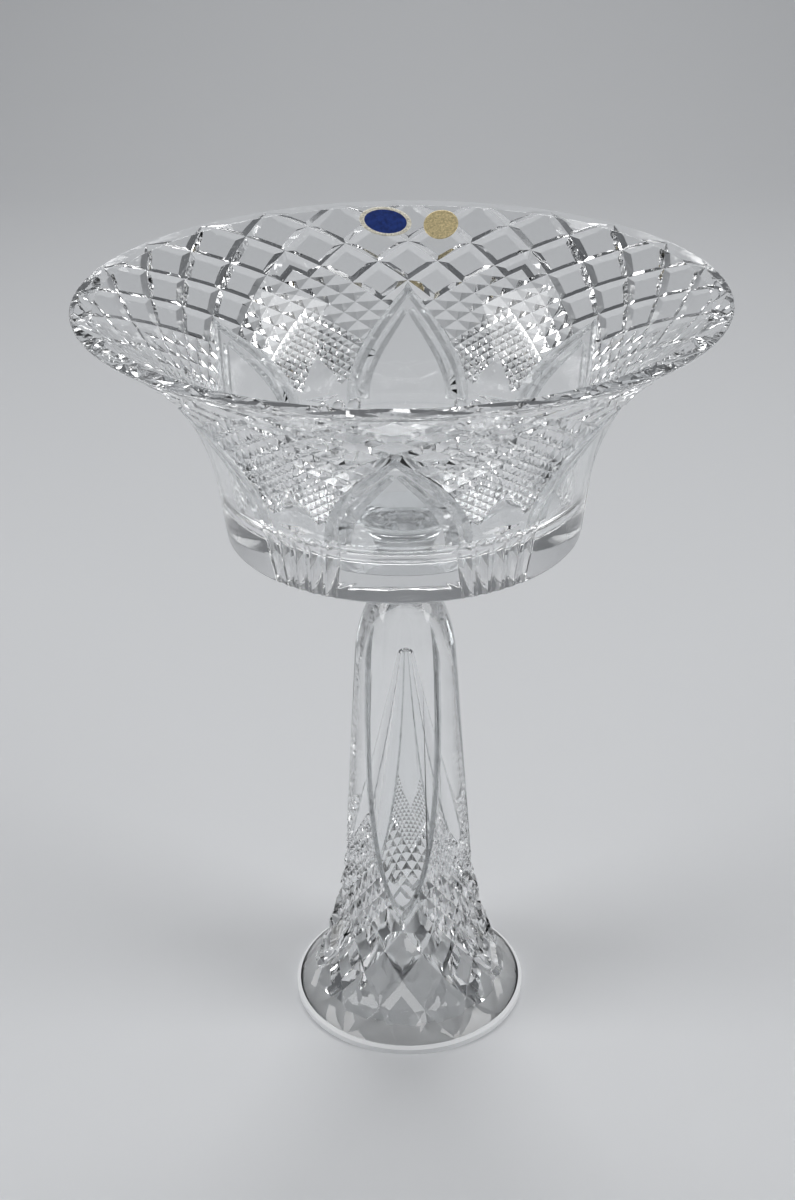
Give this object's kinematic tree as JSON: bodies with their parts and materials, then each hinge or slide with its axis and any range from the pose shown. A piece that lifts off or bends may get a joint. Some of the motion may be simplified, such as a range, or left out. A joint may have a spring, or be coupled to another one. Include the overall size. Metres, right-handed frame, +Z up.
{
  "type": "footed fruit bowl",
  "caption": "Cut-crystal fruit bowl with a wide flared lip, bonded on a tall hollow trumpet foot; pointed arches and diamond-cut fields run round both pieces of glass.",
  "frame": {"origin": "centre of the foot's ground ring, on the surface it stands on", "axes": "+Z up along the common axis of the bowl and the foot, -Y towards the side seen in the picture"},
  "size_m": [0.305, 0.305, 0.405],
  "materials": {
    "crystal": "clear, polished, wheel-cut outside",
    "foot_crystal": "clear, polished, wheel-cut outside, with a matt ground ring below",
    "adhesive": "clear",
    "blue_foil": "printed foil, blue with a gold border",
    "gold_foil": "embossed gold foil"
  },
  "bodies": {
    "root": {"bowl": "crystal", "foot": "foot_crystal", "bond": "adhesive", "label_oval": "blue_foil", "label_round": "gold_foil"}
  },
  "joints": []
}
